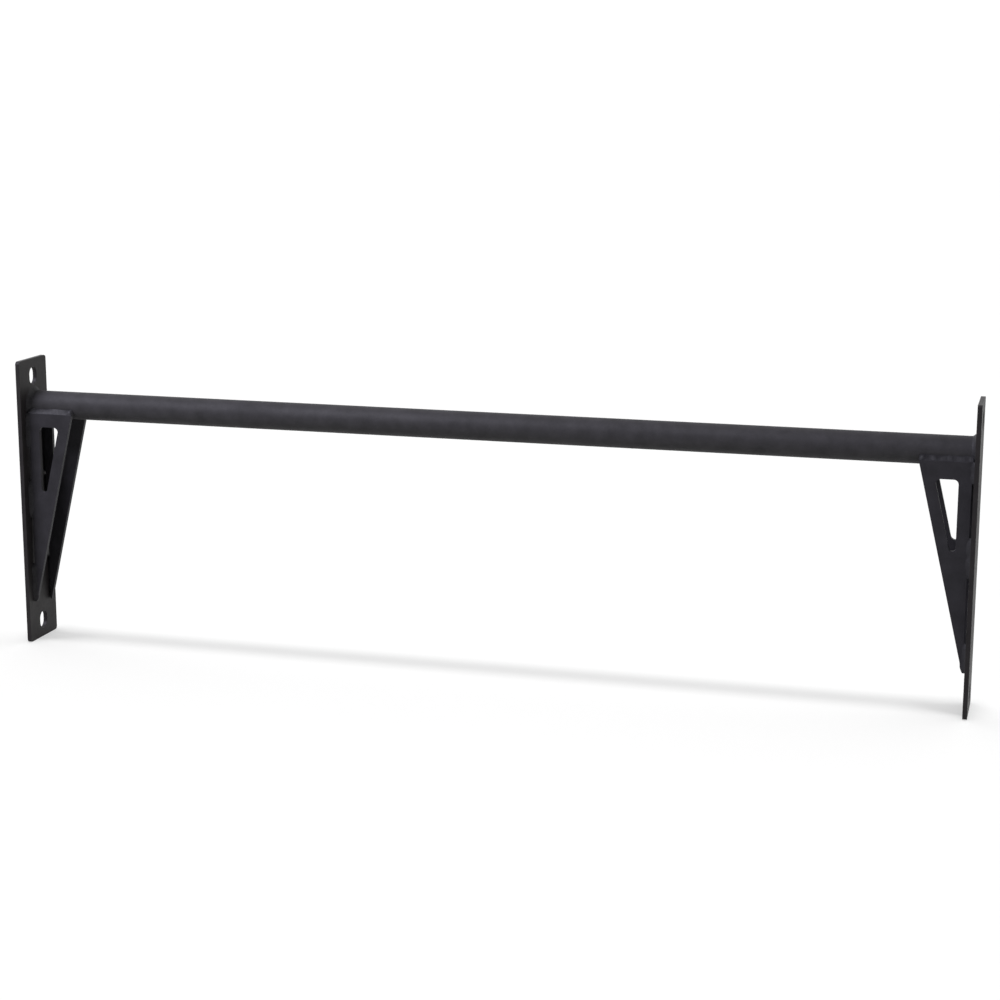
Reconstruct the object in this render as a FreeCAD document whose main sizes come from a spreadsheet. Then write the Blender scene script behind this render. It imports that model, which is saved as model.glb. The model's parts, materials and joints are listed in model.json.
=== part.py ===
import FreeCAD, Part
import math
import os
import Sketcher

# A fixed pull up bar for a training rig: one grip tube welded between two tall
# end plates, with a pair of triangular gussets under each end.  The plates bolt
# to the rig's uprights through two slots each.  Nothing on it moves.
#
# Frame: millimetres, +X along the tube to the right end, +Y to the rear, +Z up,
# origin on the tube's axis at the middle of its length.

PARTS_FOLDER = "parts"

# alias, value, meaning; everything else is worked out from these
DRIVING_SIZES = [
    ("grip_diameter", 32, "outside diameter of the grip tube"),
    ("tube_wall", 3, "wall of the grip tube"),
    ("inner_span", 1090, "distance between the end plates' inner faces"),
    ("plate_thickness", 5, "thickness of an end plate"),
    ("plate_width", 66, "front to rear width of an end plate"),
    ("plate_rise", 54, "end plate's top above the tube axis"),
    ("plate_drop", 284, "end plate's bottom below the tube axis"),
    ("plate_corner", 4, "corner radius of an end plate"),
    ("slot_width", 17, "bolt slot, front to rear, for an M16 bolt"),
    ("slot_height", 21, "bolt slot, end to end"),
    ("slot_inset", 20.5, "slot centre from the end plate's top or bottom"),
    ("gusset_thickness", 5, "thickness of a gusset"),
    ("gusset_head", 8, "gusset's top edge below the tube axis"),
    ("gusset_gap", 2.4, "open gap between a gusset and its end plate"),
    ("gusset_toe", 3.4, "end plate to the sloping edge at the gusset's lower tip"),
    ("front_foot", 236, "front gusset's lower tip below the tube axis"),
    ("rear_foot", 242, "the same of the rear gusset"),
    ("front_reach", 58.2, "end plate to the outer end of the front gusset's top edge"),
    ("rear_reach", 59.5, "the same of the rear gusset"),
    ("front_margin", 16, "end plate to the upright edge of a front gusset's cut-out"),
    ("rear_margin", 13.5, "the same of a rear gusset"),
    ("left_window_head", 24, "top edge of the left gussets' cut-outs below the tube axis"),
    ("right_window_head", 27.5, "the same of the right gussets"),
    ("window_corner", 5, "radius of the cut-out's two upper corners"),
    ("left_front_band", 13.4, "strip between cut-out and sloping edge, measured level"),
    ("left_rear_band", 17, "the same of the left rear gusset"),
    ("right_front_band", 12.8, "the same of the right front gusset"),
    ("right_rear_band", 14.8, "the same of the right rear gusset"),
    ("front_window_toe", 3.5, "radius of a front cut-out's lower corner"),
    ("rear_window_toe", 5.1, "the same of a rear cut-out"),
    ("ring_leg", 5.5, "leg of the fillet weld round the tube's end"),
    ("bead_rise", 6.5, "height of the weld between gusset and tube"),
    ("stitch_leg", 4, "leg of the stitch welds beside the end plate"),
    ("left_front_upper_end", 50, "lower end of the left front upper stitch weld"),
    ("left_rear_upper_end", 86, "the same of the left rear one, nearly touching the middle one"),
    ("right_front_upper_end", 31, "the same of the right front one"),
    ("right_rear_upper_end", 86, "the same of the right rear one"),
    ("middle_stitch_start", 89, "upper end of the middle stitch weld"),
    ("middle_stitch_end", 133, "lower end of the middle stitch weld"),
    ("left_lower_stitch_start", 189, "upper end of the left lower stitch welds"),
    ("right_lower_stitch_start", 204, "the same of the right ones"),
]

# front to rear distance from the tube axis to a gusset's inner and outer face
GUSSET_INNER = "Size.grip_diameter / 2"
GUSSET_OUTER = "(Size.grip_diameter / 2 + Size.gusset_thickness)"

# sketch constants: point positions on an edge, and the sketch's own axes
START, END, CENTRE = 1, 2, 3
ORIGIN_POINT = (-1, 1)
LEVEL_AXIS, UPRIGHT_AXIS = -1, -2

ENDS = [("left", -1), ("right", 1)]
SIDES = [("front", -1), ("rear", 1)]
# each stitch weld's upper and lower end; the lowest runs down to the gusset's own tip
STITCHES = [
    ("upper", "Size.gusset_head", "Size.{end}_{side}_upper_end"),
    ("middle", "Size.middle_stitch_start", "Size.middle_stitch_end"),
    ("lower", "Size.{end}_lower_stitch_start", "Size.{side}_foot"),
]

doc = FreeCAD.newDocument("pull_up_bar")
sheet = doc.addObject("Spreadsheet::Sheet", "Size")
for row, (alias, value, meaning) in enumerate(DRIVING_SIZES, start=1):
    sheet.set(f"A{row}", meaning)
    sheet.set(f"B{row}", str(value))
    sheet.setAlias(f"B{row}", alias)
doc.recompute()


def size(expression):
    """The present value of an expression over the sheet's cells."""
    return float(sheet.evalExpression(expression))


# ---------------------------------------------------------------- sketches

def add_sketch(body, plane_role, name):
    """A sketch flat on one of the body's own origin planes."""
    plane = next(feature for feature in body.Origin.OriginFeatures if feature.Role == plane_role)
    sketch = body.newObject("Sketcher::SketchObject", name)
    sketch.AttachmentSupport = [(plane, "")]
    sketch.MapMode = "FlatFace"
    return sketch


def constrain(sketch, expression, kind, *where):
    """A sketch constraint whose value follows an expression over the sheet's cells."""
    index = sketch.addConstraint(Sketcher.Constraint(kind, *where, size(expression)))
    sketch.setExpression(f"Constraints[{index}]", expression)


def pin_point(sketch, geometry, point, across, up):
    """Hold a sketch point at (across, up), each an expression, or None on an axis."""
    if across is None:
        sketch.addConstraint(Sketcher.Constraint("PointOnObject", geometry, point, UPRIGHT_AXIS))
    else:
        constrain(sketch, across, "DistanceX", *ORIGIN_POINT, geometry, point)
    if up is None:
        sketch.addConstraint(Sketcher.Constraint("PointOnObject", geometry, point, LEVEL_AXIS))
    else:
        constrain(sketch, up, "DistanceY", *ORIGIN_POINT, geometry, point)


def corner_vector(corner):
    """Where a corner (across, up, ...) of expressions lies now."""
    across, up = corner[0], corner[1]
    return FreeCAD.Vector(size(across) if across else 0, size(up) if up else 0, 0)


def add_polygon(sketch, corners):
    """A closed outline of straight edges through the corners (across, up)."""
    points = [corner_vector(corner) for corner in corners]
    count = len(points)
    for index in range(count):
        sketch.addGeometry(Part.LineSegment(points[index], points[(index + 1) % count]), False)
    for index, (across, up) in enumerate(corners):
        sketch.addConstraint(Sketcher.Constraint("Coincident", index - 1 if index else count - 1,
                                                 END, index, START))
        pin_point(sketch, index, START, across, up)


def add_rounded_polygon(sketch, corners):
    """A closed outline with round corners (across, up, radius), counter-clockwise."""
    points = [corner_vector(corner) for corner in corners]
    count = len(points)
    trims = []
    for index, (_, _, radius) in enumerate(corners):
        to_last = (points[index - 1] - points[index]).normalize()
        to_next = (points[(index + 1) % count] - points[index]).normalize()
        half_angle = to_last.getAngle(to_next) / 2
        reach = size(radius) / math.tan(half_angle)
        bisector = (to_last + to_next).normalize()
        centre = points[index] + bisector * (size(radius) / math.sin(half_angle))
        crown = centre - bisector * size(radius)
        trims.append((points[index] + to_last * reach, crown, points[index] + to_next * reach))
    for index in range(count):
        arrival = trims[(index + 1) % count][0]
        sketch.addGeometry(Part.LineSegment(trims[index][2], arrival), False)
    for index in range(count):
        sketch.addGeometry(Part.Arc(*trims[index]), False)
    for index in range(count):
        sketch.addGeometry(Part.Point(points[index]), True)
    for index, (across, up, radius) in enumerate(corners):
        edge_in, edge_out = (index - 1) % count, index
        arc, corner = count + index, 2 * count + index
        sketch.addConstraint(Sketcher.Constraint("Tangent", edge_in, END, arc, START))
        sketch.addConstraint(Sketcher.Constraint("Tangent", arc, END, edge_out, START))
        sketch.addConstraint(Sketcher.Constraint("PointOnObject", corner, START, edge_in))
        sketch.addConstraint(Sketcher.Constraint("PointOnObject", corner, START, edge_out))
        constrain(sketch, radius, "Radius", arc)
        pin_point(sketch, corner, START, across, up)


def add_circle(sketch, radius):
    """A circle about the sketch's origin."""
    circle = Part.Circle(FreeCAD.Vector(0, 0, 0), FreeCAD.Vector(0, 0, 1), size(radius))
    index = sketch.addGeometry(circle, False)
    sketch.addConstraint(Sketcher.Constraint("Coincident", index, CENTRE, *ORIGIN_POINT))
    constrain(sketch, radius, "Radius", index)


def add_slot(sketch, centre_up):
    """An upright bolt slot, centred front to rear, at a height."""
    radius = "Size.slot_width / 2"
    straight = "(Size.slot_height - Size.slot_width) / 2"
    half_width, half_straight, middle = size(radius), size(straight), size(centre_up)
    first = sketch.GeometryCount
    for up, start, stop in ((half_straight, 0, math.pi), (-half_straight, math.pi, 2 * math.pi)):
        circle = Part.Circle(FreeCAD.Vector(0, middle + up, 0), FreeCAD.Vector(0, 0, 1), half_width)
        sketch.addGeometry(Part.ArcOfCircle(circle, start, stop), False)
    for across, up in ((-half_width, half_straight), (half_width, -half_straight)):
        sketch.addGeometry(Part.LineSegment(FreeCAD.Vector(across, middle + up, 0),
                                            FreeCAD.Vector(across, middle - up, 0)), False)
    top, bottom, front, rear = range(first, first + 4)
    for last, following in ((top, front), (front, bottom), (bottom, rear), (rear, top)):
        sketch.addConstraint(Sketcher.Constraint("Tangent", last, END, following, START))
    constrain(sketch, radius, "Radius", top)
    pin_point(sketch, top, CENTRE, None, f"{centre_up} + {straight}")
    pin_point(sketch, bottom, CENTRE, None, f"{centre_up} - {straight}")


# ------------------------------------------------------- bodies and features

def add_body(name):
    """An empty body whose label is the sub-part's name."""
    body = doc.addObject("PartDesign::Body", name)
    body.Label = name
    return body


def pad(body, sketch, length, side_type="One side", reverse=False):
    """Thicken a sketch by an expression."""
    feature = body.newObject("PartDesign::Pad", f"{sketch.Name}_pad")
    feature.Profile = sketch
    feature.SideType = side_type
    feature.Reversed = reverse
    feature.setExpression("Length", length)
    return feature


def pocket_through(body, sketch, side_type="One side"):
    """Cut a sketch right through the body."""
    feature = body.newObject("PartDesign::Pocket", f"{sketch.Name}_pocket")
    feature.Profile = sketch
    feature.SideType = side_type
    feature.Type = "ThroughAll"
    if side_type == "Two sides":
        feature.Type2 = "ThroughAll"
    return feature


def stand_at_end(piece, end_sign, across="0"):
    """Put a piece at an end plate's inner face, its local +X towards the bar's middle."""
    piece.setExpression(".Placement.Base.x", f"{end_sign} * Size.inner_span / 2")
    piece.setExpression(".Placement.Base.y", across)
    piece.Placement.Rotation = FreeCAD.Rotation(FreeCAD.Vector(0, 0, 1), 180 if end_sign > 0 else 0)


def own_side(end_sign, side_sign):
    """The sign of a side in a piece's own frame, which is turned half round at the right end."""
    return -side_sign * end_sign


def cut(name, base, tool):
    """The base with the tool's space taken out of it."""
    result = doc.addObject("Part::Cut", name)
    result.Base = base
    result.Tool = tool
    result.Label = name
    return result


# ------------------------------------------------------------- the sub-parts

def make_grip_bar():
    """The grip: a round tube from one end plate to the other."""
    body = add_body("grip_bar")
    section = add_sketch(body, "YZ_Plane", "grip_section")
    add_circle(section, "Size.grip_diameter / 2")
    add_circle(section, "Size.grip_diameter / 2 - Size.tube_wall")
    pad(body, section, "Size.inner_span", "Symmetric")
    return body


def make_end_plate(end, end_sign):
    """A tall flat plate with rounded corners and a bolt slot near each end."""
    body = add_body(f"{end}_end_plate")
    outline = add_sketch(body, "YZ_Plane", f"{end}_plate_outline")
    front, rear = "-Size.plate_width / 2", "Size.plate_width / 2"
    bottom, top = "-Size.plate_drop", "Size.plate_rise"
    corners = [(front, bottom), (rear, bottom), (rear, top), (front, top)]
    add_rounded_polygon(outline, [(across, up, "Size.plate_corner") for across, up in corners])
    pad(body, outline, "Size.plate_thickness", reverse=True)
    slots = add_sketch(body, "YZ_Plane", f"{end}_bolt_slots")
    add_slot(slots, "Size.plate_rise - Size.slot_inset")
    add_slot(slots, "Size.slot_inset - Size.plate_drop")
    pocket_through(body, slots)
    stand_at_end(body, end_sign)
    return body


def make_gusset(end, end_sign, side, side_sign):
    """A long triangular bracket plate with a triangular window, under one end of the tube."""
    name = f"{end}_{side}_gusset"
    body = add_body(name)
    reach, foot = f"Size.{side}_reach", f"Size.{side}_foot"
    outline = add_sketch(body, "XZ_Plane", f"{name}_outline")
    add_polygon(outline, [
        ("Size.gusset_gap", "-Size.gusset_head"),
        ("Size.gusset_gap", f"-{foot}"),
        ("Size.gusset_toe", f"-{foot}"),
        (reach, "-Size.gusset_head"),
    ])
    pad(body, outline, "Size.gusset_thickness", "Symmetric")
    # how far the sloping edge comes in per millimetre of drop
    slope = f"(({reach} - Size.gusset_toe) / ({foot} - Size.gusset_head))"
    margin, head = f"Size.{side}_margin", f"Size.{end}_window_head"
    head_width = (f"({reach} - Size.{end}_{side}_band - {margin}"
                  f" - ({head} - Size.gusset_head) * {slope})")
    window = add_sketch(body, "XZ_Plane", f"{name}_window")
    add_rounded_polygon(window, [
        (margin, f"-({head} + {head_width} / {slope})", f"Size.{side}_window_toe"),
        (f"{margin} + {head_width}", f"-{head}", "Size.window_corner"),
        (margin, f"-{head}", "Size.window_corner"),
    ])
    pocket_through(body, window, "Two sides")
    stand_at_end(body, end_sign, f"{side_sign} * ({GUSSET_INNER} + Size.gusset_thickness / 2)")
    return body


def make_ring_weld(end, end_sign, gussets):
    """The fillet weld round the tube where it meets the end plate, open where the gussets stand."""
    blank = add_body(f"{end}_ring_weld_blank")
    section = add_sketch(blank, "XZ_Plane", f"{end}_ring_section")
    add_polygon(section, [
        (None, "Size.grip_diameter / 2"),
        ("Size.ring_leg", "Size.grip_diameter / 2"),
        (None, "Size.grip_diameter / 2 + Size.ring_leg"),
    ])
    turn = blank.newObject("PartDesign::Revolution", f"{end}_ring_turn")
    turn.Profile = section
    turn.ReferenceAxis = (section, ["H_Axis"])
    turn.Angle = 360
    stand_at_end(blank, end_sign)
    pair = doc.addObject("Part::Compound", f"{end}_gusset_pair")
    pair.Links = gussets
    return blank, cut(f"{end}_ring_weld", blank, pair)


def make_bar_bead(end, end_sign, side, side_sign, tube_space, ring_blank):
    """The weld that fills the corner between a gusset's top edge and the tube."""
    name = f"{end}_{side}_bar_bead"
    sign = own_side(end_sign, side_sign)
    blank = add_body(f"{name}_blank")
    section = add_sketch(blank, "YZ_Plane", f"{name}_section")
    root = f"{sign} * (Size.grip_diameter / 2 - Size.tube_wall)"
    gusset_edge = f"{sign} * {GUSSET_OUTER}"
    crest_up = "(Size.gusset_head - Size.bead_rise)"
    crest = f"{sign} * sqrt(({GUSSET_INNER}) ^ 2 - {crest_up} ^ 2)"
    add_polygon(section, [
        (root, "-Size.gusset_head"),
        (gusset_edge, "-Size.gusset_head"),
        (crest, f"-{crest_up}"),
        (root, f"-{crest_up}"),
    ])
    pad(blank, section, f"Size.{side}_reach")
    stand_at_end(blank, end_sign)
    clear_of_tube = cut(f"{name}_on_tube", blank, tube_space)
    return cut(name, clear_of_tube, ring_blank)


def make_stitch(end, end_sign, side, side_sign, place, head, foot, ring_blank):
    """One short weld from a gusset to the end plate: it fills the gap and stands proud outside."""
    name = f"{end}_{side}_{place}_stitch"
    sign = own_side(end_sign, side_sign)
    blank = add_body(f"{name}_blank")
    section = add_sketch(blank, "XY_Plane", f"{name}_section")
    add_polygon(section, [
        (None, f"{sign} * {GUSSET_INNER}"),
        ("Size.gusset_gap", f"{sign} * {GUSSET_INNER}"),
        ("Size.gusset_gap", f"{sign} * {GUSSET_OUTER}"),
        ("Size.gusset_gap + Size.stitch_leg", f"{sign} * {GUSSET_OUTER}"),
        (None, f"{sign} * ({GUSSET_OUTER} + Size.stitch_leg)"),
    ])
    pad(blank, section, f"{foot} - {head}")
    stand_at_end(blank, end_sign)
    blank.setExpression(".Placement.Base.z", f"-{foot}")
    return cut(name, blank, ring_blank)


# the space that the tube fills, used to shape the welds that lie against it
tube_space = doc.addObject("Part::Cylinder", "tube_space")
tube_space.setExpression("Radius", "Size.grip_diameter / 2")
tube_space.setExpression("Height", "Size.inner_span")
tube_space.setExpression(".Placement.Base.x", "-Size.inner_span / 2")
tube_space.Placement.Rotation = FreeCAD.Rotation(FreeCAD.Vector(0, 1, 0), 90)

sub_parts = [make_grip_bar()]
for end, end_sign in ENDS:
    sub_parts.append(make_end_plate(end, end_sign))
    gussets = [make_gusset(end, end_sign, side, side_sign) for side, side_sign in SIDES]
    sub_parts.extend(gussets)
    ring_blank, ring_weld = make_ring_weld(end, end_sign, gussets)
    sub_parts.append(ring_weld)
    for side, side_sign in SIDES:
        sub_parts.append(make_bar_bead(end, end_sign, side, side_sign, tube_space, ring_blank))
        for place, head, foot in STITCHES:
            sub_parts.append(make_stitch(end, end_sign, side, side_sign, place,
                                         head.format(end=end), foot.format(end=end, side=side),
                                         ring_blank))

doc.recompute()

# --------------------------------------------------------- checks and export

failed = [item.Name for item in doc.Objects if "Invalid" in item.State or "Error" in item.State]
if failed:
    raise RuntimeError(f"objects that did not recompute: {failed}")
for piece in sub_parts:
    if piece.Shape.isNull() or not piece.Shape.isValid():
        raise RuntimeError(f"{piece.Label} has no valid shape")

os.makedirs(PARTS_FOLDER, exist_ok=True)
for piece in sub_parts:
    piece.Shape.exportStep(os.path.join(PARTS_FOLDER, f"{piece.Label}.step"))
    box = piece.Shape.BoundBox
    print(f"{piece.Label}: {len(piece.Shape.Solids)} solid, {piece.Shape.Volume:.0f} mm3,"
          f" x {box.XMin:.1f}..{box.XMax:.1f} y {box.YMin:.1f}..{box.YMax:.1f}"
          f" z {box.ZMin:.1f}..{box.ZMax:.1f}")
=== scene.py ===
import json
import math
import random

import bmesh
import bpy
from mathutils import Matrix, Vector, noise


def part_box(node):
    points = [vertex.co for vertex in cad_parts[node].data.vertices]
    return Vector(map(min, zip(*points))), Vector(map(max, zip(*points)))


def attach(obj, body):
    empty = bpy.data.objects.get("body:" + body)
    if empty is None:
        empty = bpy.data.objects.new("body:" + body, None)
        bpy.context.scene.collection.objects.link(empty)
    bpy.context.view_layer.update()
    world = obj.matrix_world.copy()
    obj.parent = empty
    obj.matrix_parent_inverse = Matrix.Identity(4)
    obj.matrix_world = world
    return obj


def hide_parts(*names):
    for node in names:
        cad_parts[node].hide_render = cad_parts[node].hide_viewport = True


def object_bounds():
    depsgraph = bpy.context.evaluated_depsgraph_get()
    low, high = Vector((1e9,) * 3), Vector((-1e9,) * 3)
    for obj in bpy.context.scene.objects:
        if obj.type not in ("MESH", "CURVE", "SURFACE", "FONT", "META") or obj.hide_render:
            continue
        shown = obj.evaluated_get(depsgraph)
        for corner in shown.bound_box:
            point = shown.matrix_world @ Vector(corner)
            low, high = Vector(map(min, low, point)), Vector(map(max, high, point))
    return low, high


# A welded pull up bar in black textured powder coat, standing on its end plates.
# Everything is in metres in the frame's own axes: +X along the tube, +Y to the
# rear, +Z up, origin on the tube's axis at the middle of its length.

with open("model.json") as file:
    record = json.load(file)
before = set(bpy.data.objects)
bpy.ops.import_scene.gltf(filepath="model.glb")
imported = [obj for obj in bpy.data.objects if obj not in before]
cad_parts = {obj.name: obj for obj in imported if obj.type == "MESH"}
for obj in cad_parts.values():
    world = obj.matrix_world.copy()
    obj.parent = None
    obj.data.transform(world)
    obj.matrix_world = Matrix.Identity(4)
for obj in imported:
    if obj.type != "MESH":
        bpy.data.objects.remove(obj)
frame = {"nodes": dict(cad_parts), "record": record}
cad_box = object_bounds()

MM = 0.001
FLOOR_Z = cad_box[0][2]

ENDS = {"left": -1, "right": 1}
SIDES = {"front": -1, "rear": 1}
PLACES = ("upper", "middle", "lower")


def corners_of(node):
    """The low and high corners of a CAD node's box."""
    low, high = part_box(node)
    return Vector(low), Vector(high)


def plate_face_of(end):
    """Where an end plate's inner face stands along X."""
    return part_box(f"{end}_end_plate")[1 if end == "left" else 0][0]


def gusset_span(end, side):
    """How far a gusset's near and far edges are from the end plate's inner face."""
    return sorted(abs(corner.x - plate_face_of(end))
                  for corner in corners_of(f"{end}_{side}_gusset"))


def grip_radius():
    """The tube's outer radius, from its top above its own axis."""
    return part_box("grip_bar")[1][2]


# ------------------------------------------------------------------ camera

CAMERA_PLACE = (0.6458, -2.2261, 0.4090)
CAMERA_TURN = 0.2712            # radians to the left
CAMERA_TILT = 0.2097            # radians down
CAMERA_ROLL = -0.0023
CAMERA_SENSOR = 36.0            # millimetres, as Blender has it
CAMERA_LENS = 75.96             # millimetres
CAMERA_FAR = 100.0


def make_camera():
    """A long lens a little right of the right-hand plate, looking left and down."""
    camera = bpy.data.objects.new("camera", bpy.data.cameras.new("camera"))
    bpy.context.scene.collection.objects.link(camera)
    aim = (Matrix.Rotation(CAMERA_TURN, 4, "Z") @ Matrix.Rotation(-CAMERA_TILT, 4, "X")
           @ Matrix.Rotation(CAMERA_ROLL, 4, "Y") @ Matrix.Rotation(math.pi / 2, 4, "X"))
    camera.matrix_world = Matrix.Translation(CAMERA_PLACE) @ aim
    camera.data.sensor_width = CAMERA_SENSOR
    camera.data.lens = CAMERA_LENS
    camera.data.clip_end = CAMERA_FAR
    bpy.context.scene.camera = camera


# --------------------------------------------------------------- materials

class Nodes:
    """The node tree of a material or world, with short calls to add and link nodes."""

    def __init__(self, owner, shader="Principled BSDF"):
        owner.use_nodes = True
        self.tree = owner.node_tree
        self.shader = self.tree.nodes[shader]

    def add(self, kind, **settings):
        node = self.tree.nodes.new(kind)
        for name, value in settings.items():
            setattr(node, name, value)
        return node

    def link(self, source, target):
        self.tree.links.new(source, target)

    def noise(self, place, scale, detail, roughness=0.5):
        node = self.add("ShaderNodeTexNoise")
        node.inputs["Scale"].default_value = scale
        node.inputs["Detail"].default_value = detail
        node.inputs["Roughness"].default_value = roughness
        self.link(place, node.inputs["Vector"])
        return node.outputs["Fac"]

    def span(self, value, band, result):
        """Turn a band of values, given by its two ends, into another."""
        node = self.add("ShaderNodeMapRange")
        sockets = ("From Min", "From Max", "To Min", "To Max")
        for socket, number in zip(sockets, (*band, *result)):
            node.inputs[socket].default_value = number
        self.link(value, node.inputs["Value"])
        return node.outputs["Result"]

    def math(self, operation, first, second):
        node = self.add("ShaderNodeMath", operation=operation)
        for socket, value in zip(node.inputs, (first, second)):
            if isinstance(value, (int, float)):
                socket.default_value = value
            else:
                self.link(value, socket)
        return node.outputs["Value"]

    def mix(self, factor, first, second):
        node = self.add("ShaderNodeMix", data_type="RGBA")
        self.link(factor, node.inputs["Factor"])
        for socket, value in ((node.inputs[6], first), (node.inputs[7], second)):
            if isinstance(value, tuple):
                socket.default_value = (*value, 1.0)
            else:
                self.link(value, socket)
        return node.outputs[2]


# noise textures of the coat as (scale, detail, roughness), from fine to broad
GRAIN = (1400, 3, 0.6)
PEBBLE = (620, 2, 0.5)
MOTTLE = (60, 3, 0.55)
CLOUD = (9, 2, 0.5)
# the band of a noise's values that each effect runs across, and what it gives
TONE_BAND, FULL = (0.32, 0.68), (0.0, 1.0)
SPECK_BAND, SPECK_AMOUNT = (0.60, 0.74), (0.0, 0.35)
# the next band and amount set the painted highlight: how much lighter the rims are coloured, as if
# light catches the edges
RIM_HIGHLIGHT_BAND, RIM_HIGHLIGHT_AMOUNT = (0.42, 0.60), (0.15, 0.75)
ROUGH_BAND = (0.3, 0.7)
CLOUD_ROUGHNESS = (-0.04, 0.05)
PEBBLE_ROUGHNESS = (-0.05, 0.05)
# colours as shares of the coat's own
# the last share is the rims' painted highlight colour
DARKER, LIGHTER, SPECK, RIM_HIGHLIGHT = 0.82, 1.22, 2.1, 1.9
RIM_GLOSS = 0.08                # how much less rough the rims are
GRAIN_SHARE, PEBBLE_SHARE = 0.45, 0.55      # of the coat's relief
COAT_SPECULAR = 0.16
COAT_IOR = 1.5


def shade(colour, share):
    """A darker or lighter colour, a share of the one given."""
    return tuple(channel * share for channel in colour)


def powder_coat(name, colour, grain_height, roughness):
    """Black textured powder coat: a fine grain, faint mottling, thinner, glossier rims, and a
    painted highlight that lightens the rims.
    """
    material = bpy.data.materials.new(name)
    nodes = Nodes(material)
    place = nodes.add("ShaderNodeTexCoord").outputs["Object"]

    grain = nodes.noise(place, *GRAIN)
    pebble = nodes.noise(place, *PEBBLE)
    mottle = nodes.noise(place, *MOTTLE)
    cloud = nodes.noise(place, *CLOUD)
    rim = nodes.add("ShaderNodeAttribute", attribute_name="rim").outputs["Fac"]

    tone = nodes.mix(nodes.span(mottle, TONE_BAND, FULL),
                     shade(colour, DARKER), shade(colour, LIGHTER))
    tone = nodes.mix(nodes.span(grain, SPECK_BAND, SPECK_AMOUNT), tone, shade(colour, SPECK))
    # painted highlight: the rims are lightened in colour where the mottle allows, as if light
    # catches the edges
    painted_rim_highlight = nodes.math("MULTIPLY", rim, nodes.span(mottle, RIM_HIGHLIGHT_BAND, RIM_HIGHLIGHT_AMOUNT))
    tone = nodes.mix(painted_rim_highlight, tone, shade(colour, RIM_HIGHLIGHT))
    nodes.link(tone, nodes.shader.inputs["Base Color"])

    cloudy = tuple(roughness + change for change in CLOUD_ROUGHNESS)
    rough = nodes.math("ADD", nodes.span(cloud, ROUGH_BAND, cloudy),
                       nodes.span(pebble, ROUGH_BAND, PEBBLE_ROUGHNESS))
    rough = nodes.math("SUBTRACT", rough, nodes.math("MULTIPLY", rim, RIM_GLOSS))
    nodes.link(rough, nodes.shader.inputs["Roughness"])

    height = nodes.math("ADD", nodes.math("MULTIPLY", grain, GRAIN_SHARE),
                        nodes.math("MULTIPLY", pebble, PEBBLE_SHARE))
    bump = nodes.add("ShaderNodeBump")
    bump.inputs["Strength"].default_value = 1.0
    bump.inputs["Distance"].default_value = grain_height
    nodes.link(height, bump.inputs["Height"])
    nodes.link(bump.outputs["Normal"], nodes.shader.inputs["Normal"])

    nodes.shader.inputs["Metallic"].default_value = 0.0
    nodes.shader.inputs["IOR"].default_value = COAT_IOR
    nodes.shader.inputs["Specular IOR Level"].default_value = COAT_SPECULAR
    return material


# each slot's colour, height of its grain, and roughness
# the coat is one black on every part; its colours differ by part as painted light and shade: the
# plates' is darker (painted shade), the tube's lighter, the gussets' and welds' bluer (painted tint
# of the bluish key light)
COAT_LOOKS = {
    "tube_coat": ((0.0202, 0.0194, 0.0208), 0.10 * MM, 0.64),
    "plate_coat": ((0.0112, 0.0099, 0.0102), 0.10 * MM, 0.54),
    "gusset_coat": ((0.0142, 0.0135, 0.0158), 0.10 * MM, 0.54),
    "weld_coat": ((0.0142, 0.0138, 0.0155), 0.05 * MM, 0.56),
}
COAT = {slot: powder_coat(f"{slot}_finish", *look) for slot, look in COAT_LOOKS.items()}


def finish_piece(piece, slot, replaced):
    """Coat a new piece, put it on the one body and let it stand for its CAD node."""
    piece.data.materials.clear()
    piece.data.materials.append(COAT[slot])
    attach(piece, "root")
    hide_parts(replaced)


def coat_cad_node(node, slot):
    """Give a CAD node that stays its finish."""
    piece = frame["nodes"][node]
    for material_slot in piece.material_slots:
        material_slot.material = COAT[slot]


# ------------------------------------------------ flat plates, cut and coated

RIM_RADIUS = 0.25 * MM     # how far the laser-cut edges are rounded under the coat
RIM_STEPS = 3
RIM_TILT = (0.05, 0.999)   # a rim face's normal, between an edge's and a flat face's
SAME_POINT = 1e-6
FLAT_FACE_WEIGHT = 100     # the big faces alone set the shading
ARC_STEP = math.radians(6)


def arc_points(centre, radius, start, stop):
    """Points along an arc, ends included, close enough together to look round."""
    count = max(2, math.ceil(abs(stop - start) / ARC_STEP))
    angles = [start + (stop - start) * step / count for step in range(count + 1)]
    return [centre + radius * Vector((math.cos(angle), math.sin(angle))) for angle in angles]


def rounded_outline(corners):
    """A closed outline from (corner, radius) pairs, counter-clockwise."""
    points = []
    count = len(corners)
    for index, (corner, radius) in enumerate(corners):
        to_last = (corners[index - 1][0] - corner).normalized()
        to_next = (corners[(index + 1) % count][0] - corner).normalized()
        half_angle = to_last.angle(to_next) / 2
        bisector = (to_last + to_next).normalized()
        centre = corner + bisector * (radius / math.sin(half_angle))
        middle = math.atan2(-bisector.y, -bisector.x)
        sweep = math.pi / 2 - half_angle
        points += arc_points(centre, radius, middle - sweep, middle + sweep)
    return points


def slot_outline(centre, half_width, half_length):
    """An upright round-ended slot."""
    straight = Vector((0, half_length - half_width))
    top = arc_points(centre + straight, half_width, 0, math.pi)
    bottom = arc_points(centre - straight, half_width, math.pi, 2 * math.pi)
    return top + bottom


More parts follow.
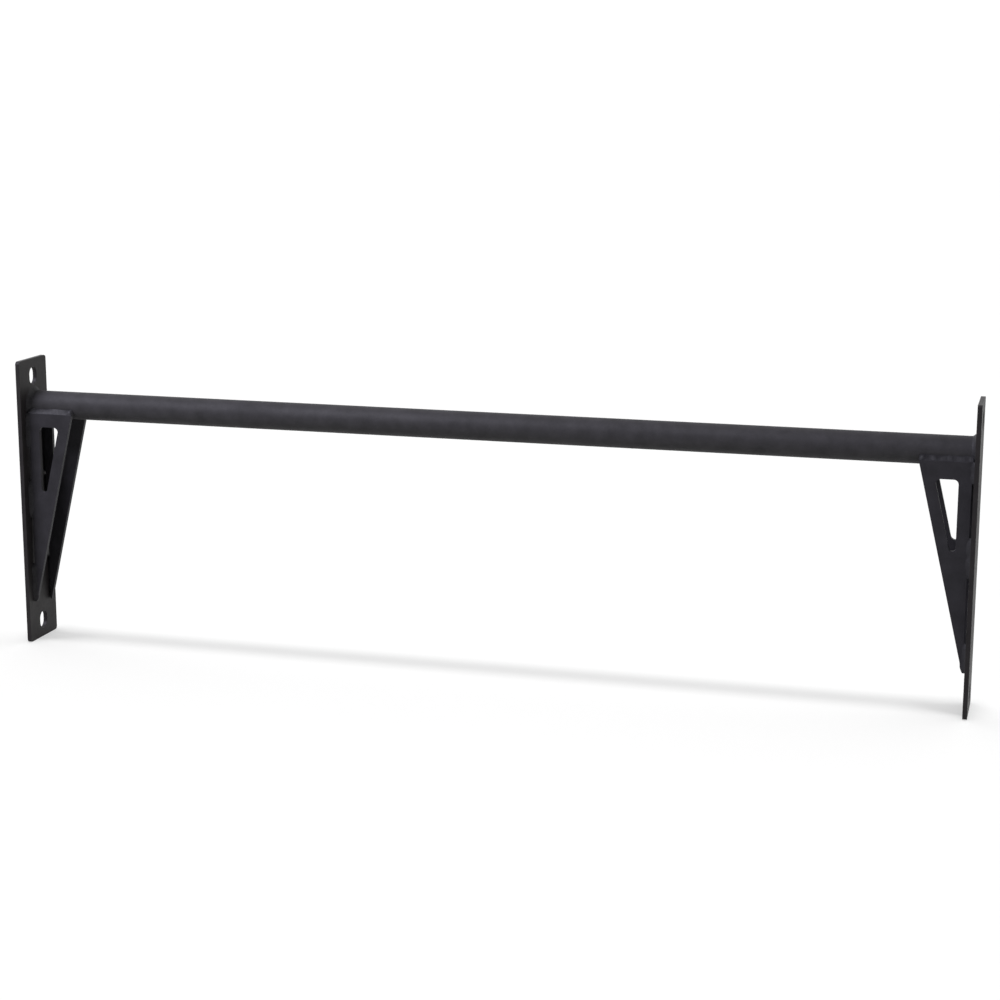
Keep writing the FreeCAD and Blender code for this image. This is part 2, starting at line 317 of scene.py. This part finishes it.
def flat_piece(name, outlines, thickness, to_world):
    """A plate cut to its outlines, the first outside and the rest holes, with soft rims."""
    curve = bpy.data.curves.new(f"{name}_outline", "CURVE")
    curve.dimensions = "2D"
    curve.fill_mode = "BOTH"
    curve.extrude = thickness / 2 - RIM_RADIUS
    curve.bevel_depth = RIM_RADIUS
    curve.bevel_resolution = RIM_STEPS
    curve.offset = -RIM_RADIUS
    for outline in outlines:
        spline = curve.splines.new("POLY")
        spline.points.add(len(outline) - 1)
        for point, place in zip(spline.points, outline):
            point.co = (place.x, place.y, 0, 1)
        spline.use_cyclic_u = True
    holder = bpy.data.objects.new(f"{name}_holder", curve)
    mesh = bpy.data.meshes.new_from_object(holder)
    bpy.data.objects.remove(holder)
    bpy.data.curves.remove(curve)

    shape = bmesh.new()
    shape.from_mesh(mesh)
    bmesh.ops.remove_doubles(shape, verts=shape.verts, dist=SAME_POINT)
    bmesh.ops.recalc_face_normals(shape, faces=shape.faces)
    rim = shape.loops.layers.float.new("rim")
    for face in shape.faces:
        on_rim = RIM_TILT[0] < abs(face.normal.z) < RIM_TILT[1]
        face.smooth = True
        for loop in face.loops:
            loop[rim] = 1.0 if on_rim else 0.0
    shape.transform(to_world)
    bmesh.ops.recalc_face_normals(shape, faces=shape.faces)
    shape.to_mesh(mesh)
    shape.free()

    piece = bpy.data.objects.new(name, mesh)
    bpy.context.scene.collection.objects.link(piece)
    smooth = piece.modifiers.new("flat_faces_stay_flat", "WEIGHTED_NORMAL")
    smooth.weight = FLAT_FACE_WEIGHT
    return piece


# --------------------------------------------------------------- end plates

PLATE_CORNER = 4.0 * MM


def make_end_plate(end):
    """The plate with its rounded corners and the two bolt slots its mount states."""
    node = f"{end}_end_plate"
    low, high = corners_of(node)
    corners = [(low.y, low.z), (high.y, low.z), (high.y, high.z), (low.y, high.z)]
    outlines = [rounded_outline([(Vector(corner), PLATE_CORNER) for corner in corners])]
    mount = next(m for m in frame["record"]["mounts"] if m["name"] == f"{end}_bolt_slots")
    dims = mount["dims"]
    for direction in (-1, 1):
        centre = Vector((0, mount["pos_m"][2] + direction * dims["spacing_y_mm"] * MM / 2))
        outlines.append(slot_outline(centre, dims["hole_r_mm"] * MM,
                                     dims["slot_length_mm"] * MM / 2))
    # the outline's own axes become the object's Y and Z, its thickness X
    stand = Matrix(((0, 0, 1, (low.x + high.x) / 2), (1, 0, 0, 0), (0, 1, 0, 0), (0, 0, 0, 1)))
    piece = flat_piece(f"{end}_plate", outlines, high.x - low.x, stand)
    finish_piece(piece, "plate_coat", node)


# ------------------------------------------------------------------ gussets

GUSSET_CORNER = 1.0 * MM        # the cut corners are barely softened
GUSSET_TOE = 3.4 * MM           # end plate to the sloping edge, at the lower tip
GUSSET_TOE_CORNER = 0.4 * MM
WINDOW_HEAD = {"left": 16.0 * MM, "right": 19.5 * MM}    # gusset's top edge to the window's
WINDOW_CORNER = 5.0 * MM
# end plate to the window's upright edge, and the radius of the window's lower corner
WINDOW_MARGIN = {"front": 16.0 * MM, "rear": 13.5 * MM}
WINDOW_TOE_CORNER = {"front": 3.5 * MM, "rear": 5.1 * MM}
# strap between the window and the sloping edge, measured level
WINDOW_BAND = {
    ("left", "front"): 13.4 * MM,
    ("left", "rear"): 17.0 * MM,
    ("right", "front"): 12.8 * MM,
    ("right", "rear"): 14.8 * MM,
}


def make_gusset(end, side):
    """The long triangular plate under the tube, with its triangular window."""
    node = f"{end}_{side}_gusset"
    low, high = corners_of(node)
    plate_face = plate_face_of(end)
    gap, reach = gusset_span(end, side)
    slope = (reach - GUSSET_TOE) / (high.z - low.z)
    head = high.z - WINDOW_HEAD[end]
    margin = WINDOW_MARGIN[side]
    window_width = reach - WINDOW_BAND[end, side] - margin - WINDOW_HEAD[end] * slope
    outside = [
        (Vector((gap, low.z)), GUSSET_TOE_CORNER),
        (Vector((GUSSET_TOE, low.z)), GUSSET_TOE_CORNER),
        (Vector((reach, high.z)), GUSSET_CORNER),
        (Vector((gap, high.z)), GUSSET_CORNER),
    ]
    window = [
        (Vector((margin, head - window_width / slope)), WINDOW_TOE_CORNER[side]),
        (Vector((margin + window_width, head)), WINDOW_CORNER),
        (Vector((margin, head)), WINDOW_CORNER),
    ]
    # the outline's own X runs from the end plate towards the middle of the bar
    inward = -ENDS[end]
    stand = Matrix(((inward, 0, 0, plate_face), (0, 0, 1, (low.y + high.y) / 2),
                    (0, 1, 0, 0), (0, 0, 0, 1)))
    outlines = [rounded_outline(outside), rounded_outline(window)]
    piece = flat_piece(f"{end}_{side}_bracket", outlines, high.y - low.y, stand)
    finish_piece(piece, "gusset_coat", node)


# -------------------------------------------------------------------- welds

SINK = 0.25 * MM           # how far a bead's toes and root reach into the steel they join
ROW_STEP = 0.35 * MM
CROWN_POINTS = 13

RIPPLE_PITCH = 3.2 * MM
LEAST_RIPPLES = 3
RIPPLE_BOW = 0.55          # how far the crescents are bowed, in ripples
RIPPLE_SHARPNESS = 0.7
RIPPLE_LEVEL = 0.6         # taken off, so that ripples don't raise the bead
RIPPLE_DRIFT = 0.22        # how uneven their spacing is, in ripples
RIPPLE_DRIFT_RATE = 260    # rates are in waves of the noise for each metre
LUMP_RATE = 150
LEAST_SWELL = 0.04         # what is left of a bead at its very end

NOISE_REACH = 50           # each bead starts somewhere else in the noise
LANE = 7.0                 # the distance that keeps a bead's own wanders apart in it
FIRST_TOE, SECOND_TOE, SPACING, LUMPS = 1, 2, 3, 4      # the wanders' lanes


class Bead:
    """A hand-laid weld bead: rippled, lumpy, a little uneven in width, tapered at both ends."""

    def __init__(self, name, length, ripple, lump, taper=0.0):
        self.name = name
        self.length = length
        self.ripple_height = ripple
        self.lump_height = lump
        self.taper = taper          # length over which an end runs out; 0 is a closed ring
        self.closed = taper == 0.0
        draw = random.Random(name)
        self.shift = Vector(draw.uniform(-NOISE_REACH, NOISE_REACH) for _ in range(3))
        self.ripples = max(LEAST_RIPPLES, round(length / RIPPLE_PITCH))

    def wander(self, along, rate, lane):
        """Slow unevenness between -1 and 1 at a place along the bead."""
        angle = along / self.length * 2 * math.pi
        if self.closed:
            radius = self.length * rate / (2 * math.pi)
            place = Vector((math.cos(angle) * radius, math.sin(angle) * radius, lane * LANE))
        else:
            place = Vector((along * rate, lane * LANE, 0))
        return noise.noise(place + self.shift)

    def vary(self, along, middle, spread, rate, lane):
        """A value that wanders about its middle, by its spread at most."""
        return middle + spread * self.wander(along, rate, lane)

    def swell(self, along):
        """How much of the full bead is there, from 0 past its ends to 1."""
        if self.closed:
            return 1.0
        from_end = min(along, self.length - along)
        left = max(0.0, 1.0 - from_end / self.taper)
        return 1.0 - left * left

    def relief(self, along, across):
        """Height of the crescent ripples and of the slower lumps they ride on."""
        bow = (2 * across - 1) ** 2 * RIPPLE_BOW
        drift = RIPPLE_DRIFT * self.wander(along, RIPPLE_DRIFT_RATE, SPACING)
        beat = along / self.length * self.ripples + bow + drift
        ripple = abs(math.sin(math.pi * beat)) ** RIPPLE_SHARPNESS - RIPPLE_LEVEL
        lump = self.wander(along, LUMP_RATE, LUMPS)
        return self.ripple_height * ripple + self.lump_height * lump

    def build(self, section, place):
        """The bead as an object, skinned over its cross sections.

        section(along, swell) gives the two toes, the roots and the bulge between the toes;
        place(along, point) puts a point of the section in the frame.
        """
        rows = math.ceil(self.length / ROW_STEP)
        shape = bmesh.new()
        rings = []
        for row in range(rows if self.closed else rows + 1):
            along = self.length * row / rows
            swell = max(LEAST_SWELL, self.swell(along))
            toe_p, toe_q, roots, bulge = section(along, swell)
            normal = Vector((toe_q.y - toe_p.y, toe_p.x - toe_q.x)).normalized()
            if normal.dot(Vector((1, 1))) < 0:
                normal = -normal
            ring = []
            for step in range(CROWN_POINTS):
                across = step / (CROWN_POINTS - 1)
                point = toe_p.lerp(toe_q, across)
                crown = math.sin(math.pi * across)
                rise = crown * (bulge + self.relief(along, across)) * swell
                ring.append(shape.verts.new(place(along, point + normal * rise)))
            for root in roots:
                ring.append(shape.verts.new(place(along, root)))
            rings.append(ring)
        next_rings = rings[1:] + rings[:1] if self.closed else rings[1:]
        for first, second in zip(rings, next_rings):
            count = len(first)
            for step in range(count):
                following = (step + 1) % count
                shape.faces.new((first[step], first[following], second[following], second[step]))
        if not self.closed:
            for ring in (rings[0], rings[-1]):
                shape.faces.new(ring)
        bmesh.ops.recalc_face_normals(shape, faces=shape.faces)
        for face in shape.faces:
            face.smooth = True
        mesh = bpy.data.meshes.new(self.name)
        shape.to_mesh(mesh)
        shape.free()
        piece = bpy.data.objects.new(self.name, mesh)
        bpy.context.scene.collection.objects.link(piece)
        return piece


def grown(least, swell):
    """A share that is at its least where the bead has run out, and whole where it is full."""
    return least + (1 - least) * swell


STITCH = {"ripple": 0.14 * MM, "lump": 0.5 * MM, "taper": 7.0 * MM}
STITCH_LEG = 4.0 * MM                       # the full leg, unless the CAD weld's is shorter
STITCH_REACH = (0.80, 0.25, 90)             # leg on the gusset: its middle, spread and rate
STITCH_RISE = (0.62, 0.20, 90)              # leg on the end plate
LEAST_REACH, LEAST_RISE = 0.2, 0.1
STITCH_FILL = 0.8                           # of the gusset's thickness
STITCH_BULGE = -0.40 * MM                   # below nought, the face is hollow


def make_stitch(end, side, where):
    """A short fillet weld that fills the gap beside the end plate."""
    node = f"{end}_{side}_{where}_stitch"
    low, high = corners_of(node)
    gusset_low, gusset_high = corners_of(f"{end}_{side}_gusset")
    plate_face = plate_face_of(end)
    outer_face = gusset_low.y if side == "front" else gusset_high.y
    thickness = gusset_high.y - gusset_low.y
    gap, _ = gusset_span(end, side)
    leg = min(high.x - low.x - gap, STITCH_LEG)
    head = min(high.z, gusset_high.z)
    inward, outward = -ENDS[end], SIDES[side]
    bead = Bead(f"{end}_{side}_{where}_weld", head - low.z, **STITCH)

    def section(along, swell):
        reach = leg * bead.vary(along, *STITCH_REACH, FIRST_TOE) * grown(LEAST_REACH, swell)
        rise = leg * bead.vary(along, *STITCH_RISE, SECOND_TOE) * grown(LEAST_RISE, swell)
        fill = -thickness * STITCH_FILL * swell
        toe_plate = Vector((-SINK, rise))
        toe_gusset = Vector((gap + reach, -SINK))
        roots = [Vector((gap + SINK, fill)), Vector((-SINK, fill))]
        return toe_plate, toe_gusset, roots, STITCH_BULGE

    def place(along, point):
        return Vector((plate_face + inward * point.x, outer_face + outward * point.y, head - along))

    finish_piece(bead.build(section, place), "weld_coat", node)


BAR_BEAD = {"ripple": 0.12 * MM, "lump": 0.9 * MM, "taper": 2.6 * MM}
BAR_BEAD_CREST = 5.2 * MM       # its toe on the tube, above the gusset's top edge
BAR_BEAD_UNEVEN = 1.1 * MM
BAR_BEAD_UNEVEN_RATE = 110
BAR_BEAD_INSET = 0.2 * MM       # its other toe, in from the gusset's outer face
END_LOWER = 2.2 * MM            # how much lower the crest is where the bead runs out
END_NARROWER = 2.0 * MM         # how much further in the other toe is there
BAR_BEAD_BULGE = 0.2 * MM
BAR_BEAD_ROOT = 0.84            # the root's place under the tube, of the tube's radius
DROP_HEIGHT = 0.9 * MM
DROP_FROM_END = 4.0 * MM
DROP_WIDTH = 3.0 * MM


def make_bar_bead(end, side):
    """The weld along a gusset's top edge, up against the tube."""
    node = f"{end}_{side}_bar_bead"
    gusset_low, gusset_high = corners_of(f"{end}_{side}_gusset")
    bar_radius = grip_radius()
    plate_face = plate_face_of(end)
    head = gusset_high.z
    outer = max(abs(gusset_low.y), abs(gusset_high.y))
    inner = min(abs(gusset_low.y), abs(gusset_high.y))
    _, reach = gusset_span(end, side)
    inward, outward = -ENDS[end], SIDES[side]
    bead = Bead(f"{end}_{side}_top_weld", reach, **BAR_BEAD)

    def section(along, swell):
        # measured from the tube's axis: x outward, y up
        lift = bead.vary(along, head + BAR_BEAD_CREST - (1 - swell) * END_LOWER,
                         BAR_BEAD_UNEVEN, BAR_BEAD_UNEVEN_RATE, FIRST_TOE)
        # the last of the weld is laid on thicker, a drop at the free end
        drop = DROP_HEIGHT * math.exp(-((reach - along - DROP_FROM_END) / DROP_WIDTH) ** 2)
        crest = Vector((math.sqrt(bar_radius ** 2 - lift ** 2) - SINK, lift))
        edge = Vector((outer - BAR_BEAD_INSET - (1 - swell) * END_NARROWER, head - SINK))
        roots = [Vector((inner, head - SINK)),
                 Vector((bar_radius * BAR_BEAD_ROOT, head - SINK))]
        return crest, edge, roots, BAR_BEAD_BULGE + drop

    def place(along, point):
        return Vector((plate_face + inward * along, outward * point.x, point.y))

    finish_piece(bead.build(section, place), "weld_coat", node)


RING = {"ripple": 0.10 * MM, "lump": 0.5 * MM}
RING_LEG = (0.92, 0.16, 60)     # of the CAD ring's width: its middle, spread and rate
RING_BULGE = -0.7 * MM


def make_ring_weld(end):
    """The fillet weld round the tube at its end plate."""
    node = f"{end}_ring_weld"
    low, high = corners_of(node)
    bar_radius = grip_radius()
    plate_face = plate_face_of(end)
    leg = high.x - low.x
    inward = -ENDS[end]
    middle_radius = bar_radius + leg / 2
    bead = Bead(f"{end}_tube_weld", 2 * math.pi * middle_radius, **RING)

    def section(along, swell):
        up_plate = leg * bead.vary(along, *RING_LEG, FIRST_TOE)
        up_tube = leg * bead.vary(along, *RING_LEG, SECOND_TOE)
        toe_plate = Vector((-SINK, bar_radius + up_plate))
        toe_tube = Vector((up_tube, bar_radius - SINK))
        roots = [Vector((-SINK, bar_radius - SINK))]
        return toe_plate, toe_tube, roots, RING_BULGE

    def place(along, point):
        angle = along / bead.length * 2 * math.pi
        return Vector((plate_face + inward * point.x, point.y * math.sin(angle),
                       point.y * math.cos(angle)))

    finish_piece(bead.build(section, place), "weld_coat", node)


# ---------------------------------------------------------- floor and light

FLOOR_HALF_WIDTH = 30.0
FLOOR_ALBEDO = 0.5
FLOOR_GLOW = 0.47
FLOOR_ROUGHNESS = 0.9
BACKDROP_GLOW = 1.25
BACKDROP_BAND = (-0.1, 0.3)     # from where the glow begins to where it is full, towards +Y
SOFTBOX_SIZE = 1.5
SOFTBOX_DISTANCE = 3.0
SOFTBOX_AIM = (0, 0, -0.1)
# azimuth from the front towards the right end and elevation, in degrees; power; colour
SOFTBOXES = {
    "key": (-45, 45, 163, (0.97, 0.96, 1.10)),
    "fill": (80, 25, 22, (1.0, 0.96, 0.96)),
    "top": (0, 90, 4, (1.0, 1.0, 1.0)),
}
OVERHEAD_PLACE = (0, -0.049, 1)     # a little to the front, so the shadow falls a little behind
OVERHEAD_STRENGTH = 1.80
OVERHEAD_SPREAD = 10.0          # degrees across; sets how soft the bar's floor shadow is


def make_floor():
    """A plain white lit floor, level with the plates' lower edges."""
    half = FLOOR_HALF_WIDTH
    corners = [(-half, -half), (half, -half), (half, half), (-half, half)]
    mesh = bpy.data.meshes.new("floor")
    mesh.from_pydata([(x, y, FLOOR_Z) for x, y in corners], [], [(0, 1, 2, 3)])
    floor = bpy.data.objects.new("floor", mesh)
    bpy.context.scene.collection.objects.link(floor)
    material = bpy.data.materials.new("floor_white")
    shader = Nodes(material).shader
    shader.inputs["Base Color"].default_value = (FLOOR_ALBEDO, FLOOR_ALBEDO, FLOOR_ALBEDO, 1)
    shader.inputs["Emission Color"].default_value = (1, 1, 1, 1)
    shader.inputs["Emission Strength"].default_value = FLOOR_GLOW
    shader.inputs["Roughness"].default_value = FLOOR_ROUGHNESS
    shader.inputs["Specular IOR Level"].default_value = 0.0
    mesh.materials.append(material)
    return floor


def add_lamp(name, light, place, target, floor, lights_floor):
    """Aim a lamp at a point; it lights either the floor or everything but the floor."""
    lamp = bpy.data.objects.new(name, light)
    bpy.context.scene.collection.objects.link(lamp)
    direction = Vector(target) - Vector(place)
    lamp.matrix_world = (Matrix.Translation(place)
                         @ direction.to_track_quat("-Z", "Y").to_matrix().to_4x4())
    lamp.visible_camera = False
    receivers = bpy.data.collections.new(f"{name}_receivers")
    receivers.objects.link(floor)
    receivers.collection_objects[0].light_linking.link_state = (
        "INCLUDE" if lights_floor else "EXCLUDE")
    lamp.light_linking.receiver_collection = receivers


def add_softbox(name, azimuth, elevation, power, colour, floor):
    """A square softbox, turned to the object."""
    light = bpy.data.lights.new(name, "AREA")
    light.shape = "SQUARE"
    light.size = SOFTBOX_SIZE
    light.energy = power
    light.color = colour
    turn, lift = math.radians(azimuth), math.radians(elevation)
    place = SOFTBOX_DISTANCE * Vector((math.cos(lift) * math.sin(turn),
                                       -math.cos(lift) * math.cos(turn), math.sin(lift)))
    add_lamp(name, light, place, SOFTBOX_AIM, floor, lights_floor=False)


def make_world():
    """A white studio: the backdrop glows on the object from behind, the front is dark."""
    world = bpy.data.worlds.new("studio")
    bpy.context.scene.world = world
    nodes = Nodes(world, "Background")
    axes = nodes.add("ShaderNodeSeparateXYZ")
    nodes.link(nodes.add("ShaderNodeTexCoord").outputs["Generated"], axes.inputs["Vector"])
    backdrop = nodes.span(axes.outputs["Y"], BACKDROP_BAND, (0.0, BACKDROP_GLOW))
    seen = nodes.add("ShaderNodeLightPath").outputs["Is Camera Ray"]
    nodes.shader.inputs["Color"].default_value = (1, 1, 1, 1)
    nodes.link(nodes.math("MAXIMUM", backdrop, seen), nodes.shader.inputs["Strength"])


def make_lights(floor):
    """Softboxes that light the object, and an overhead lamp that casts its shadow on the floor."""
    make_world()
    for name, settings in SOFTBOXES.items():
        add_softbox(name, *settings, floor)
    overhead = bpy.data.lights.new("overhead", "SUN")
    overhead.energy = OVERHEAD_STRENGTH
    overhead.angle = math.radians(OVERHEAD_SPREAD)
    add_lamp("overhead", overhead, OVERHEAD_PLACE, (0, 0, 0), floor, lights_floor=True)


# -------------------------------------------------------------------- scene

make_camera()
make_lights(make_floor())
coat_cad_node("grip_bar", "tube_coat")
for end in ENDS:
    make_end_plate(end)
    make_ring_weld(end)
    for side in SIDES:
        make_gusset(end, side)
        make_bar_bead(end, side)
        for where in PLACES:
            make_stitch(end, side, where)

bpy.context.scene.view_settings.view_transform = "Standard"
